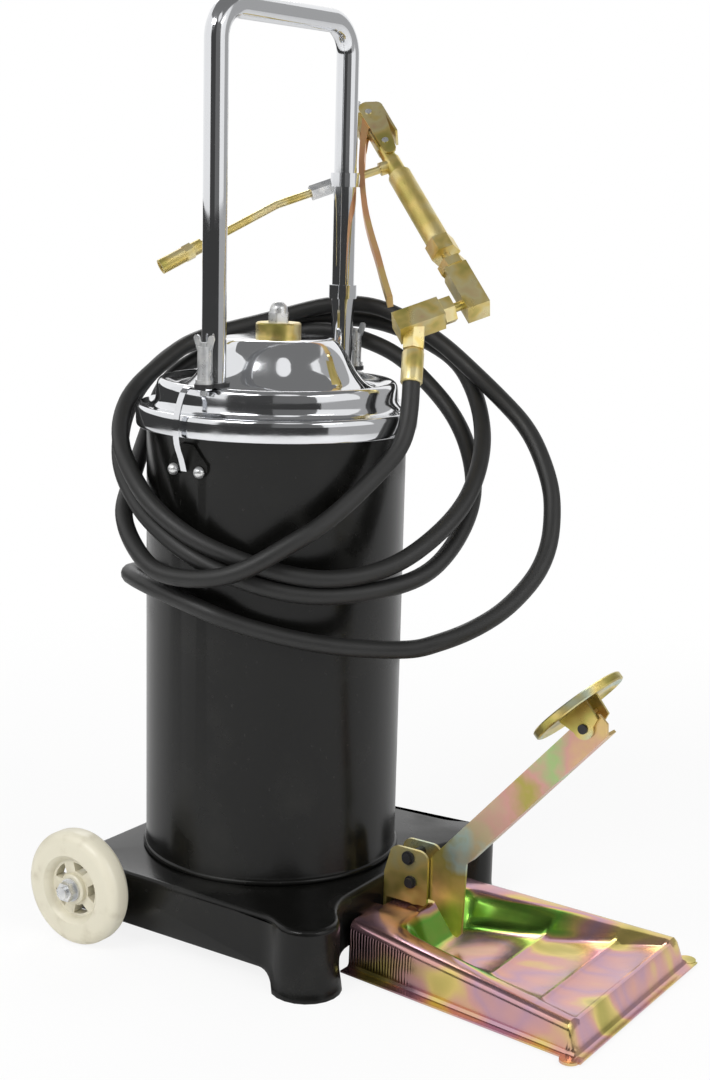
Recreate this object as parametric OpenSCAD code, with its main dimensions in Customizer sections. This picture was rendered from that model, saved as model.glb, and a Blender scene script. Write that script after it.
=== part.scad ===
// Foot operated grease pump: a drum on a wheeled base, with a pedal lever,
// a stamped foot tray, a pull handle and a gun on a hose looped round the drum.
// Millimetres. The drum's axis is at x = 0, y = 0 before the whole is centred.

/* [Base] */
// Height of the deck that the drum stands on
base_h = 60.7; // [58:0.1:72]
// Wall thickness of the base
base_wall = 4; // [3:0.5:5]
// Half the width over the side skirts
base_half_w = 141.3; // [139:0.1:145]
// Rear edge behind the drum axis
base_rear = 118; // [116:0.5:122]
// Front face before the drum axis
base_front = 130.6; // [127:0.1:133]
// Height of the skirt's lower edge
skirt_z = 14.5; // [10:0.5:20]
// Radius of the two front legs
leg_r = 27; // [24:0.5:30]
// Leg centre before the drum axis
leg_x = 130; // [127:0.5:133]
// Leg centre beside the drum axis
leg_y = 125; // [121:0.5:128]
// Outward flare of each foot
foot_flare = 3.5; // [1:0.5:5]
// Rounding of the deck's edge
deck_round = 5; // [3:0.5:5.5]

/* [Drum and lid] */
// Outer radius of the drum
drum_r = 112; // [106:0.5:113]
// Sheet thickness of the drum
drum_t = 1.5; // [1:0.1:2.5]
// Height of the drum's bottom plate above the deck
bottom_lift = 7.3; // [6:0.1:12]
// Drum rim above the floor
drum_top = 453; // [420:1:455]
// Lid centre above the drum rim
dome_rise = 61; // [52:1:70]
// Sheet thickness of the lid
lid_t = 1.2; // [0.8:0.1:1.6]
// Overlap of the lid's brim down the drum
brim_drop = 15; // [12:0.5:20]
// Radius of the brim over the drum wall
brim_over = 9.2; // [8.5:0.1:11]
// Radius of the follower rod
rod_r = 5; // [4:0.5:6]
// Radius of the yellow collar nut
collar_r = 19.5; // [16:0.5:22]
// Height of the collar nut
collar_h = 12; // [9:0.5:15]

/* [Handle] */
// Outer radius of the handle tube
tube_r = 10; // [8:0.5:11]
// Distance of each leg from the drum axis
handle_half_w = 91.7; // [88:0.1:94]
// Handle legs before the drum axis
handle_x = 3; // [0:0.5:6]
// Top of the handle above the floor
handle_top = 790; // [760:1:820]
// Bend radius at the tube's centre
handle_bend = 28; // [22:1:36]

/* [Hold-downs] */
// Radius of the threaded post's sleeve
post_r = 5.5; // [4.5:0.5:6.5]
// Length of the sleeve
post_len = 21; // [16:1:26]
// Width of the chrome hold-down strap
strap_w = 6; // [4:1:8]

/* [Wheels] */
// Radius of each wheel
wheel_r = 50; // [46:0.5:54]
// Width of each wheel
wheel_w = 24; // [20:1:28]
// Wheel centre behind the drum axis
wheel_back = 78.5; // [76:0.5:82]
// Radius of the axle
axle_r = 5; // [4:0.5:5.5]
// Gap between the base and each wheel
wheel_gap = 14.7; // [12:0.1:18]
// Windows in each wheel
windows = 5; // [4:1:7]
// Radial clearance of a turning bore
run_gap = 0.05; // [0.03:0.01:0.08]

/* [Pedal] */
// Lever pivot before the drum axis
pivot_x = 158; // [156:0.5:160]
// Lever pivot above the floor
pivot_z = 62; // [61:0.5:66]
// Slope of the lever
lever_slope = 48; // [45:1:49]
// Width of the lever's web
lever_w = 24; // [20:1:25]
// Depth of the lever's channel
lever_d = 16; // [13:0.5:17]
// Sheet thickness of the lever
lever_t = 2.5; // [2:0.1:3.5]
// Length from the pivot to the pad's pin
lever_len = 225.5; // [200:1:235]
// Radius of the disc pad
pad_r = 42; // [36:1:44]
// Tilt of the disc pad from level
pad_tilt = 45; // [42:1:48]
// Inner gap between the bracket's side plates
bracket_gap = 18.8; // [18.4:0.1:21]
// Thickness of the bracket's plates
bracket_t = 2.6; // [2:0.1:3.5]

/* [Tray] */
// Sheet thickness of the foot tray
tray_t = 1.5; // [1.2:0.1:2]
// Rear edge of the tray before the drum axis
tray_rear = 138; // [137.5:0.5:141]
// Front edge of the tray before the drum axis
tray_front = 371; // [350:1:380]
// Half width at the rear
tray_rear_w = 87; // [82:1:90]
// Half width at the front
tray_front_w = 109; // [100:1:114]
// Rim height at the rear
tray_rear_h = 42; // [40:0.5:43]
// Rim height at the front
tray_front_h = 27; // [22:1:30]
// Height of the tray's sunk floor at its rear end
floor_rear_z = 13; // [12:0.5:14]
// Height of the sunk floor at its front end
floor_front_z = 22.5; // [20:0.5:24]

/* [Gun] */
// Radius of the grip
grip_r = 10.6; // [9:0.2:12]
// Length of the grip
grip_len = 90; // [75:1:95]
// Lean of the gun's body from upright
gun_lean = 50.2; // [46:0.2:54]
// Turn of the gun's body about the vertical
gun_turn = 154.3; // [151:0.2:158]
// Turn of the spout about the gun's body
spout_turn = 64.3; // [61:0.2:68]
// Width across the swivel blocks
block_w = 20; // [16:1:22]
// Radius of the spout pipe
pipe_r = 3.5; // [3:0.1:4]

/* [Hose] */
// Diameter of the hose
hose_d = 15; // [12:0.5:16]

/* [Hidden] */
$fn = 64;
eps = 0.01;
// Clearance of a seated piece, and of a piece that moves past another
seat = 0.3;
pass = 0.5;

rear_reach = wheel_back + wheel_r;
centre_dx = (rear_reach - tray_front) / 2;
wheel_y = base_half_w + wheel_gap + wheel_w / 2;
axle_z = wheel_r;
hub_r = 0.5 * wheel_r;
plate_z = base_h + bottom_lift;
pump_z = pivot_z - 14;
pump_r = 8;
lobe_r = 8;
bracket_half = bracket_gap / 2 + bracket_t;
lid_ring_z = drum_top + 25.2;
brim_r = drum_r + brim_over;
foot_z = lid_ring_z + seat;
foot_plate_t = 3.5;
post_x = handle_x + 3.5;
post_y = handle_half_w + tube_r + post_r + 1.4;
post_z = foot_z + foot_plate_t;
outlet_x = -48;
outlet_y = 118;
outlet_bend = 8;
outlet_r = 6;
hose_end_z = 104;
stop_x = pivot_x - 3;
stop_z = pivot_z + 21;
pin_r = 4;
pad_pin_x = pivot_x + lever_len * cos(lever_slope - 0.8);
pad_pin_z = pivot_z + lever_len * sin(lever_slope - 0.8);
pad_pin_r = 4;
gun_at = [23, 138, 661];
yoke_in = 7.2;
nose_w = 10;
pin_x = -2;
yoke_t = 2;
pin1_z = 63;
pin2_z = 13;
grip_top = -13.5;
grip_end = grip_top - grip_len;
block1_top = grip_end - 35;
block1_end = block1_top - 50;
swivel_z = block1_end + 13;
block2_in = 29;
block2_out = 70;
outlet_at = 53;
hose_r = hose_d / 2;

// Points along the hose, from the gun's ferrule round the drum to the outlet
hose_points = [
    [123, 20, 482], [131.5, -2, 440], [122, -29.5, 410], [105, -69, 378], [87, -98, 359],
    [51, -129, 334], [-5, -137, 327], [-41, -132, 339], [-78, -110, 364], [-102, -71, 390],
    [-129, -17, 427], [-131, 17, 469], [-94, 68, 501], [-58, 96, 508], [-24, 114, 511],
    [24, 132, 497], [59, 138, 474], [97, 134, 442], [130, 111, 408], [151, 78, 375],
    [157, 34, 343], [148, -9, 323], [116, -60, 315], [83, -91, 317], [46, -114, 328],
    [6, -125, 344], [-34, -122, 363], [-69, -108, 381], [-103, -86, 408], [-127, -49, 445],
    [-128, -8, 479], [-111, 38, 503], [-61, 100, 518], [-32, 126, 522], [12, 150, 518],
    [67, 165, 495], [104, 151, 469], [135, 120, 436], [154, 82, 405], [159, 43, 375],
    [149, -3, 348], [131, -40, 333], [102, -76, 329], [62, -104, 338], [15, -123, 355],
    [-25, -126, 375], [-56, -119, 396], [-92, -98, 426], [-114.5, -61.5, 457], [-113, -19, 484],
    [-104, 22, 504], [-68, 77, 520], [-23, 115, 535], [18, 137, 532], [64, 144, 511],
    [97, 144, 491], [146, 140, 456], [194, 121, 402], [216, 103, 368], [217, 56, 317],
    [193, 9, 291], [154, -34, 272], [104, -77, 275], [52, -110, 288], [17, -124, 300],
    [-45, -118, 310], [-92, -87, 308], [-118, -35, 296], [-125, 5, 270], [-117, 48, 232],
    [-97, 86, 186], [-69, 110, 144], [outlet_x, outlet_y, hose_end_z]
];

// Points of an arc from angle a to angle b in n steps
function arc(c, r, a, b, n) =
    [for (i = [0:n]) let (t = a + (b - a) * i / n) [c[0] + r * cos(t), c[1] + r * sin(t)]];

// A smooth open line through points, with n steps between each pair
function smooth_at(p, i, t) =
    let (last = len(p) - 1, a = p[max(i - 1, 0)], b = p[i], c = p[min(i + 1, last)],
         d = p[min(i + 2, last)])
    0.5 * (2 * b + (c - a) * t + (2 * a - 5 * b + 4 * c - d) * t * t
           + (3 * b - 3 * c + d - a) * t * t * t);
function smooth(p, n) =
    concat([for (i = [0:len(p) - 2], k = [0:n - 1]) smooth_at(p, i, k / n)], [p[len(p) - 1]]);

function unit(v) = v / norm(v);
function normal2(p, i) =
    let (a = p[max(i - 1, 0)], b = p[min(i + 1, len(p) - 1)], d = unit(b - a)) [-d[1], d[0]];
// The same line moved sideways by t
function beside(p, t) = [for (i = [0:len(p) - 1]) p[i] + t * normal2(p, i)];
function backwards(p) = [for (i = [len(p) - 1:-1:0]) p[i]];

// A solid through closed rings of equal length, closed at both ends. From point turned on,
// each four-sided patch is split along its other diagonal.
module skin(rings, turned = 1000) {
    n = len(rings[0]);
    m = len(rings);
    points = [for (r = rings, q = r) q];
    sides = [for (k = [0:m - 2], i = [0:n - 1])
        let (j = (i + 1) % n, a = k * n + i, b = a + n, c = k * n + j, d = c + n)
        each i < turned ? [[a, d, b], [a, c, d]] : [[a, c, b], [c, d, b]]];
    first = [[for (i = [n - 1:-1:0]) i]];
    final = [[for (i = [0:n - 1]) (m - 1) * n + i]];
    polyhedron(points, concat(sides, first, final), convexity = 10);
}

// Turns the Z axis along v and moves to p
module along(p, v) {
    translate(p) rotate([0, acos(v[2] / norm(v)), atan2(v[1], v[0])]) children();
}
module hex(r_flat, h) {
    cylinder(r = r_flat / cos(30), h = h, $fn = 6);
}
module both_sides() {
    for (s = [-1, 1]) scale([1, s, 1]) children();
}
module ring(r_out, r_in, h) {
    difference() {
        cylinder(r = r_out, h = h);
        translate([0, 0, -1]) cylinder(r = r_in, h = h + 2);
    }
}
module centred() {
    translate([centre_dx, 0, 0]) children();
}

// Base: half of the plan at inset d, as [x, y, lower edge, share of the foot's flare]
side_blend = 40;
front_blend = 60;
corner_r = 16;
side_cx = leg_x - sqrt(pow(leg_r + side_blend, 2) - pow(base_half_w + side_blend - leg_y, 2));
side_c = [side_cx, base_half_w + side_blend];
front_cy = leg_y - sqrt(pow(leg_r + front_blend, 2) - pow(base_front + front_blend - leg_x, 2));
front_c = [base_front + front_blend, front_cy];
side_a = atan2(side_c[1] - leg_y, side_c[0] - leg_x);
front_a = atan2(front_c[1] - leg_y, front_c[0] - leg_x);
function with(p, n, up) =
    [for (i = [0:n]) let (t = up ? i / n : 1 - i / n)
        [p[i][0], p[i][1], skirt_z * sqrt(max(0, 1 - t * t)), t]];
function half_plan(d) = concat(
    [for (p = arc([-base_rear + corner_r, base_half_w - corner_r], corner_r - d, 180, 90, 4))
        [p[0], p[1], skirt_z, 0]],
    [[-20, base_half_w - d, skirt_z, 0], [50, base_half_w - d, skirt_z, 0]],
    with(arc(side_c, side_blend + d, -90, side_a - 180, 6), 6, true),
    [for (i = [1:9]) let (t = side_a + (front_a - side_a) * i / 10)
        [leg_x + (leg_r - d) * cos(t), leg_y + (leg_r - d) * sin(t), 0, 1]],
    with(arc(front_c, front_blend + d, front_a + 180, 180, 6), 6, false));
function plan(d) =
    let (h = half_plan(d), n = len(h))
    concat(h, [for (i = [n - 1:-1:0]) [h[i][0], -h[i][1], h[i][2], h[i][3]]]);
function out_of(p, c, f) =
    let (v = [p[0], abs(p[1])] - c, u = f * v / norm(v)) [u[0], sign(p[1]) * u[1]];
// Ring of the plan at inset d and height z, or k above the lower edge, with the flare f
function base_ring(d, z, k, f) = [for (p = plan(d))
    let (u = out_of(p, [leg_x, leg_y], f * p[3]))
    [p[0] + u[0], p[1] + u[1], z == undef ? p[2] + k : z]];

module base() {
    color([0.03, 0.03, 0.03]) difference() {
        skin(concat(
            [base_ring(base_wall + 1.5, base_h - base_wall, 0, 0),
             base_ring(base_wall, base_h - base_wall - 1.5, 0, 0),
             base_ring(base_wall, undef, 12, 0), base_ring(base_wall, undef, 0, 0.6 * foot_flare)],
            [for (k = [0, 1.5, 4, 8, 13])
                base_ring(k == 0 ? 0.8 : 0, undef, k, foot_flare * pow(1 - k / 13, 2))],
            [for (a = [0:22.5:90])
                base_ring(deck_round * (1 - cos(a)), base_h - deck_round * (1 - sin(a)), 0, 0)]));
        translate([0, 0, base_h - 10]) cylinder(r = inlet_boss_r + pass, h = 20);
        translate([outlet_x, outlet_y, base_h - 10]) cylinder(r = outlet_r + seat, h = 20);
        translate([-wheel_back, 0, axle_z]) rotate([90, 0, 0])
            cylinder(r = axle_r + run_gap, h = 2 * base_half_w + 10, center = true);
        translate([base_front - 10, 0, pump_z]) rotate([0, 90, 0])
            cylinder(r = pump_r + seat, h = 20);
        for (y = bracket_screw_y) translate([base_front - 10, y, bracket_screw_z])
            rotate([0, 90, 0]) cylinder(r = screw_r + run_gap, h = 20);
        for (p = drum_bolt_at) translate([p[0], p[1], base_h - 10]) cylinder(r = screw_r + run_gap, h = 20);
        for (y = [-tray_screw_y, tray_screw_y]) translate([base_front - 10, y, tray_screw_z])
            rotate([0, 90, 0]) cylinder(r = screw_r + run_gap, h = 30);
    }
}

// Drum: rolled wall with a bead at both ends and a raised bottom plate
inlet_boss_r = 20;
inlet_neck_r = 14;
screw_r = 3;
drum_bolt_ring = 0.82 * drum_r;
drum_bolt_at = [for (a = [45:90:315]) [drum_bolt_ring * cos(a), drum_bolt_ring * sin(a)]];
bead_r = 2.6;
module drum() {
    color([0.02, 0.02, 0.02]) difference() {
        rotate_extrude($fn = 120) polygon(concat(
            [[inlet_neck_r + run_gap, plate_z], [drum_r - drum_t, plate_z], [drum_r - drum_t, base_h]],
            arc([drum_r, base_h + bead_r], bead_r, -90, 80, 6),
            [[drum_r, base_h + 2 * bead_r + 2], [drum_r, drum_top - 2 * bead_r - 1]],
            arc([drum_r, drum_top - bead_r], bead_r, -80, 90, 6),
            [[drum_r - drum_t, drum_top], [drum_r - drum_t, plate_z + drum_t],
             [inlet_neck_r + run_gap, plate_z + drum_t]]));
        for (p = drum_bolt_at) translate([p[0], p[1], plate_z - 5]) cylinder(r = screw_r + run_gap, h = 10);
        for (x = lug_x) translate([x, 0, lug_z]) rotate([90, 0, 0])
            cylinder(r = screw_r + run_gap, h = 300, center = true);
    }
}
// Studs through the deck and the drum's bottom plate, with a distance sleeve between
module drum_bolts() {
    color([0.6, 0.6, 0.6]) for (p = drum_bolt_at) translate([p[0], p[1], 0]) {
        translate([0, 0, base_h - base_wall - 6]) cylinder(r = screw_r, h = bottom_lift + base_wall + 14);
        translate([0, 0, base_h]) cylinder(r = 2 * screw_r, h = bottom_lift);
        translate([0, 0, plate_z + drum_t]) hex(5, 4);
        translate([0, 0, base_h - base_wall - 4]) hex(5, 4);
    }
}

// Lid: one spun sheet, given as its upper line from the centre to the brim's edge
lid_line = smooth([
    [0, dome_rise], [rod_r + 20, dome_rise], [40, dome_rise], [46.6, dome_rise - 1], [52, dome_rise - 5],
    [58.3, dome_rise - 13], [66.6, 0.55 * dome_rise], [74.8, 0.39 * dome_rise], [83, 19.6], [90, 21],
    [96, 24.6], [100, 25], [103, 21.6], [104, 15], [104.8, 7.5], [108, 3.4], [113, 3],
    [brim_r - 2.6, 3.4], [brim_r - 0.6, 1], [brim_r, -3], [brim_r, -9], [brim_r - 0.4, -brim_drop + 1],
    [brim_r - 1.6, -brim_drop]], 3);
lid_under = beside(lid_line, -lid_t);
module lid() {
    color([0.8, 0.8, 0.82]) translate([0, 0, drum_top]) difference() {
        rotate_extrude($fn = 120) polygon(concat(
            lid_line,
            backwards([for (p = lid_under) [max(0, p[0]), p[1]]])));
        translate([0, 0, dome_rise - 10]) cylinder(r = rod_r + seat, h = 20);
    }
}
module lid_gasket() {
    color([0.1, 0.1, 0.1]) translate([0, 0, drum_top]) ring(drum_r + 2, drum_r - drum_t - 3, 1.6);
}
module collar_nut() {
    color([0.75, 0.7, 0.35]) translate([0, 0, drum_top + dome_rise]) difference() {
        rotate_extrude() polygon([[0, 0], [collar_r, 0], [collar_r, collar_h - 1.2],
            [collar_r - 1.2, collar_h], [0, collar_h]]);
        translate([0, 0, -1]) cylinder(r = rod_r + run_gap, h = collar_h + 2);
    }
}
acorn_flat = 8.2;
module acorn_nut() {
    color([0.75, 0.75, 0.75]) translate([0, 0, drum_top + dome_rise + collar_h]) difference() {
        union() {
            hex(acorn_flat, 8);
            translate([0, 0, 8]) rotate_extrude() polygon(concat(
                [[0, 0], [acorn_flat, 0]], arc([0, 2], acorn_flat - 0.3, 0, 88, 8),
                    [[0, 2 + acorn_flat - 0.3]]));
        }
        translate([0, 0, -1]) cylinder(r = rod_r + run_gap, h = 11);
    }
}

// Rod up the middle of the drum, on which the follower plate slides
rod_foot = plate_z + drum_t + 10;
module follower_rod() {
    color([0.6, 0.6, 0.62]) translate([0, 0, rod_foot]) {
        cylinder(r = rod_r, h = drum_top + dome_rise + collar_h + 9 - rod_foot);
        cylinder(r = rod_r + 5, h = 4);
    }
}
follower_z = rod_foot + 14;
follower_r = drum_r - drum_t - 5;
module follower_plate() {
    color([0.5, 0.5, 0.52]) translate([0, 0, follower_z]) difference() {
        rotate_extrude($fn = 96) polygon([[0, 0], [follower_r, 0], [follower_r, 9], [follower_r - 2, 9],
            [follower_r - 2, 2], [12, 2], [12, 20], [0, 20]]);
        translate([0, 0, -1]) cylinder(r = rod_r + run_gap, h = 30);
    }
}
module follower_seal() {
    color([0.1, 0.1, 0.1]) translate([0, 0, follower_z]) difference() {
        ring(drum_r - drum_t - seat, follower_r - 12, 14);
        translate([0, 0, -eps]) cylinder(r = follower_r, h = 9 + eps);
        translate([0, 0, 8]) cylinder(r = follower_r - 2, h = 9);
    }
}

// Pump: a bored body lying under the deck, with its inlet boss up through the drum's bottom
pump_nose = base_front + 6;
pump_tail = outlet_x - pump_r;
plunger_r = 5;
plunger_tip = pivot_x - lobe_r - 0.2;
module pump_body() {
    color([0.3, 0.3, 0.3]) difference() {
        union() {
            translate([pump_tail, 0, pump_z]) rotate([0, 90, 0])
                cylinder(r = pump_r, h = pump_nose - pump_tail);
            translate([0, 0, pump_z - pump_r]) cylinder(r = inlet_boss_r, h = plate_z - pump_z + pump_r);
            translate([0, 0, plate_z - 1]) cylinder(r = inlet_neck_r, h = rod_foot - plate_z + 1);
            translate([outlet_x, 0, pump_z]) rotate([-90, 0, 0]) cylinder(r = pump_r, h = 16);
        }
        translate([30, 0, pump_z]) rotate([0, 90, 0]) cylinder(r = plunger_r + run_gap, h = pump_nose);
        for (a = [0, 90]) translate([0, 0, rod_foot - 3]) rotate([90, 0, a])
            cylinder(r = 2.4, h = 40, center = true);
        translate([outlet_x, 8, pump_z]) rotate([-90, 0, 0]) cylinder(r = outlet_r + run_gap, h = 20);
    }
}
module pump_plunger() {
    color([0.75, 0.75, 0.78]) translate([60, 0, pump_z]) rotate([0, 90, 0])
        cylinder(r = plunger_r, h = plunger_tip - 60);
}
module inlet_nut() {
    color([0.5, 0.5, 0.5]) translate([0, 0, plate_z + drum_t]) difference() {
        hex(19, 4.5);
        translate([0, 0, -1]) cylinder(r = inlet_neck_r + run_gap, h = 9);
    }
}
// Pipe from the pump to the hose fitting that stands on the deck behind the drum
module outlet_pipe() {
    color([0.55, 0.55, 0.5]) {
        translate([outlet_x, 8, pump_z]) rotate([-90, 0, 0])
            cylinder(r = outlet_r, h = outlet_y - outlet_bend - 8);
        translate([outlet_x, outlet_y - outlet_bend, pump_z + outlet_bend]) rotate([0, 90, 0])
            rotate_extrude(angle = 90) translate([outlet_bend, 0]) circle(r = outlet_r);
        translate([outlet_x, outlet_y, pump_z + outlet_bend])
            cylinder(r = outlet_r, h = base_h + 8 - pump_z - outlet_bend);
    }
}
module outlet_fitting() {
    color([0.75, 0.7, 0.4]) translate([outlet_x, outlet_y, base_h]) difference() {
        union() {
            hex(9.5, 14);
            translate([0, 0, 14]) cylinder(r = 7, h = 3);
            translate([0, 0, 16]) cylinder(r = hose_r + 1.6, h = hose_end_z - base_h - 16);
        }
        translate([0, 0, -1]) cylinder(r = outlet_r + run_gap, h = 9);
    }
}

// Handle: one bent tube standing on the lid's ring
module handle() {
    top = handle_top - tube_r;
    color([0.82, 0.82, 0.84]) translate([handle_x, 0, 0]) {
        both_sides() {
            translate([0, handle_half_w, foot_z + foot_plate_t])
                cylinder(r = tube_r, h = top - handle_bend - foot_z - foot_plate_t);
            translate([0, handle_half_w - handle_bend, top - handle_bend]) rotate([0, -90, 0])
                rotate_extrude(angle = 90) translate([handle_bend, 0]) circle(r = tube_r);
        }
        translate([0, 0, top]) rotate([90, 0, 0])
            cylinder(r = tube_r, h = 2 * (handle_half_w - handle_bend), center = true);
    }
}
// Plates under the tube ends, each with an ear for its hold-down post
module handle_feet() {
    color([0.35, 0.35, 0.35]) both_sides() translate([0, 0, foot_z]) difference() {
        union() {
            translate([handle_x, handle_half_w, 0]) cylinder(r = tube_r + 3, h = foot_plate_t);
            translate([post_x, post_y, 0]) cylinder(r = post_r + 2.5, h = foot_plate_t);
            translate([handle_x - 6, handle_half_w, 0]) cube([14, post_y - handle_half_w, foot_plate_t]);
        }
        translate([post_x, post_y, -1]) cylinder(r = screw_r + run_gap, h = 9);
    }
}
module hold_down_posts() {
    color([0.7, 0.7, 0.7]) both_sides() translate([post_x, post_y, post_z]) {
        translate([0, 0, -foot_plate_t - 6]) cylinder(r = screw_r, h = post_len + 22);
        cylinder(r = post_r + 1.5, h = 3.5);
        translate([0, 0, 3]) cylinder(r = post_r, h = post_len);
    }
}
module wing_nuts() {
    color([0.75, 0.75, 0.75]) both_sides() translate([post_x, post_y, post_z + post_len + 3]) difference() {
        union() {
            cylinder(r = post_r, h = 6);
            for (s = [-1, 1]) translate([s * 5.2, 0, 5]) rotate([0, s * 16, 0]) hull() {
                rotate([90, 0, 0]) cylinder(r = 2.2, h = 2, center = true, $fn = 20);
                translate([0, 0, 8]) rotate([90, 0, 0]) cylinder(r = 2.8, h = 2, center = true, $fn = 20);
            }
        }
        translate([0, 0, -1]) cylinder(r = screw_r + run_gap, h = 14);
    }
}
// Straps: from under each post out over the brim and down to the lug on the drum
strap_t = 1.4;
strap_top = foot_z;
strap_x = -8;
strap_side = smooth([[post_y - 4, strap_top], [post_y + 4, strap_top], [post_y + 10, strap_top - 5],
    [brim_r + 4, drum_top + 6], [brim_r + 5.5, drum_top - 6], [brim_r + 4, drum_top - 20],
    [drum_r + 7.5, drum_top - 33], [drum_r + 4.2, drum_top - 43]], 3);
module hold_down_straps() {
    color([0.82, 0.82, 0.84]) both_sides() difference() {
        translate([strap_x - strap_w / 2, 0, 0]) {
            rotate([90, 0, 90]) linear_extrude(strap_w)
                polygon(concat(strap_side, backwards(beside(strap_side, -strap_t))));
            translate([0, post_y - 4, strap_top - strap_t])
                cube([post_x + 5 - strap_x + strap_w / 2, 8, strap_t]);
        }
        translate([post_x, post_y, strap_top - 6]) cylinder(r = screw_r + run_gap, h = 12);
    }
}
// Black lugs riveted to the drum, which the straps hook under
lug_z = drum_top - 42.5;
lug_x = [-20.9, 7.3];
module drum_lugs() {
    color([0.03, 0.03, 0.03]) both_sides() difference() {
        translate([0, 0, lug_z]) intersection() {
            ring(drum_r + 2.3, drum_r + 0.2, 60);
            translate([(lug_x[0] + lug_x[1]) / 2, drum_r, 0]) rotate([90, 0, 0])
                linear_extrude(60, center = true)
                    polygon([[-21, -6], [21, -6], [21, 6], [7, 22], [-7, 22], [-21, 6]]);
        }
        for (x = lug_x) along([x, 0, lug_z], [0, 1, 0]) cylinder(r = screw_r + run_gap, h = 150);
    }
}
module lug_bolts() {
    color([0.75, 0.75, 0.75]) both_sides() for (x = lug_x) {
        y = sqrt(pow(drum_r + 2.3, 2) - x * x) + 0.9;
        along([x, y, lug_z], [0, 1, 0]) {
            rotate_extrude() polygon(concat([[0, 0]], arc([0, 0], 5, 0, 88, 7), [[0, 5]]));
            translate([0, 0, -5]) cylinder(r = screw_r, h = 6);
        }
    }
}

// Axle, with spacers, washers and nuts, the same on both sides
axle_end = wheel_y + wheel_w / 2 + 10;
module on_axle(y) {
    both_sides() translate([-wheel_back, y, axle_z]) rotate([-90, 0, 0]) children();
}
module axle() {
    color([0.7, 0.7, 0.7]) translate([-wheel_back, 0, axle_z]) rotate([90, 0, 0])
        cylinder(r = axle_r, h = 2 * axle_end, center = true);
}
module axle_spacers() {
    color([0.5, 0.5, 0.5]) on_axle(base_half_w) ring(axle_r + 3.5, axle_r + run_gap, wheel_gap - seat);
}
module axle_washers() {
    color([0.75, 0.75, 0.75]) on_axle(wheel_y + hub_face + seat) ring(10, axle_r + run_gap, 1.5);
}
module axle_nuts() {
    color([0.75, 0.75, 0.75]) on_axle(wheel_y + hub_face + seat + 1.5) difference() {
        hex(7.5, 7);
        translate([0, 0, -1]) cylinder(r = axle_r + run_gap, h = 9);
    }
}
// Wheel: rounded tread, sunk web with windows between the spokes, and a hub
hub_face = wheel_w / 2 - 2;
web_h = 5;
module wheel() {
    rotate([90, 0, 0]) difference() {
        rotate_extrude($fn = 96) polygon(concat(
            [[0, -hub_face], [12, -hub_face], [13, -hub_face + 1], [13, -web_h], [hub_r, -web_h],
             [hub_r + 2, -wheel_w / 2 + 3], [hub_r + 5, -wheel_w / 2]],
            arc([wheel_r - 9, -wheel_w / 2 + 9], 9, -90, -8, 6),
            arc([wheel_r - 9, wheel_w / 2 - 9], 9, 8, 90, 6),
            [[hub_r + 5, wheel_w / 2], [hub_r + 2, wheel_w / 2 - 3], [hub_r, web_h], [13, web_h],
             [13, hub_face - 1], [12, hub_face], [0, hub_face]]));
        cylinder(r = axle_r + run_gap, h = wheel_w + 10, center = true);
        for (k = [0:windows - 1]) rotate([0, 0, 360 / windows * k]) linear_extrude(wheel_w, center = true)
            polygon(concat(arc([0, 0], hub_r - 2.2, -22, 22, 6), arc([0, 0], 15, 16, -16, 4)));
    }
}
module wheel_near() {
    color([0.86, 0.84, 0.74]) translate([-wheel_back, -wheel_y, axle_z]) wheel();
}
module wheel_far() {
    color([0.86, 0.84, 0.74]) translate([-wheel_back, wheel_y, axle_z]) wheel();
}

// Bracket: a folded plate with two ears that carry the lever
bracket_front = pivot_x + 16;
bracket_top = pivot_z + 29;
bracket_low = pivot_z - 19;
bracket_foot = 18;
bracket_screw_y = [-6, 6];
bracket_screw_z = 26;
module bracket() {
    difference() {
        union() {
            both_sides() translate([0, bracket_half, 0]) rotate([90, 0, 0]) linear_extrude(bracket_t)
                polygon(concat(
                    [[base_front, bracket_low], [bracket_front - 3, bracket_low],
                        [bracket_front, bracket_low + 3]],
                    arc([bracket_front - 9, bracket_top - 9], 9, 0, 90, 6),
                    arc([base_front + 14, bracket_top - 9], 9, 90, 150, 4),
                    [[base_front, bracket_low + 22]]));
            translate([base_front, -bracket_half, bracket_foot])
                cube([bracket_t, 2 * bracket_half, bracket_low + 20 - bracket_foot]);
        }
        translate([stop_x, 0, stop_z]) rotate([90, 0, 0])
            cylinder(r = pin_r + run_gap, h = 60, center = true);
        translate([pivot_x, 0, pivot_z]) rotate([90, 0, 0])
            cylinder(r = pin_r + run_gap, h = 60, center = true);
        translate([base_front - 5, 0, pump_z]) rotate([0, 90, 0]) cylinder(r = pump_r + seat, h = 14);
        for (y = bracket_screw_y) translate([base_front - 5, y, bracket_screw_z]) rotate([0, 90, 0])
            cylinder(r = screw_r + run_gap, h = 14);
    }
}
module lever_bracket() {
    color([0.75, 0.68, 0.35]) bracket();
}
module bracket_screws() {
    color([0.5, 0.5, 0.5]) for (y = bracket_screw_y) translate([base_front, y, bracket_screw_z])
        rotate([0, 90, 0]) {
            translate([0, 0, -base_wall - 2]) cylinder(r = screw_r, h = base_wall + 2 + bracket_t + 1);
            translate([0, 0, bracket_t]) cylinder(r = 5, h = 3);
        }
}
module cross_pin(x, z, head) {
    translate([x, 0, z]) rotate([90, 0, 0]) {
        cylinder(r = pin_r, h = 2 * bracket_half + 10, center = true);
        for (s = [-1, 1]) scale([1, 1, s]) translate([0, 0, bracket_half]) cylinder(r = head, h = 2);
    }
}
module stop_bolt() {
    color([0.12, 0.12, 0.12]) cross_pin(stop_x, stop_z, pin_r + 2);
}
module lever_pin() {
    color([0.6, 0.6, 0.62]) cross_pin(pivot_x, pivot_z, pin_r + 1.5);
}

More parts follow.
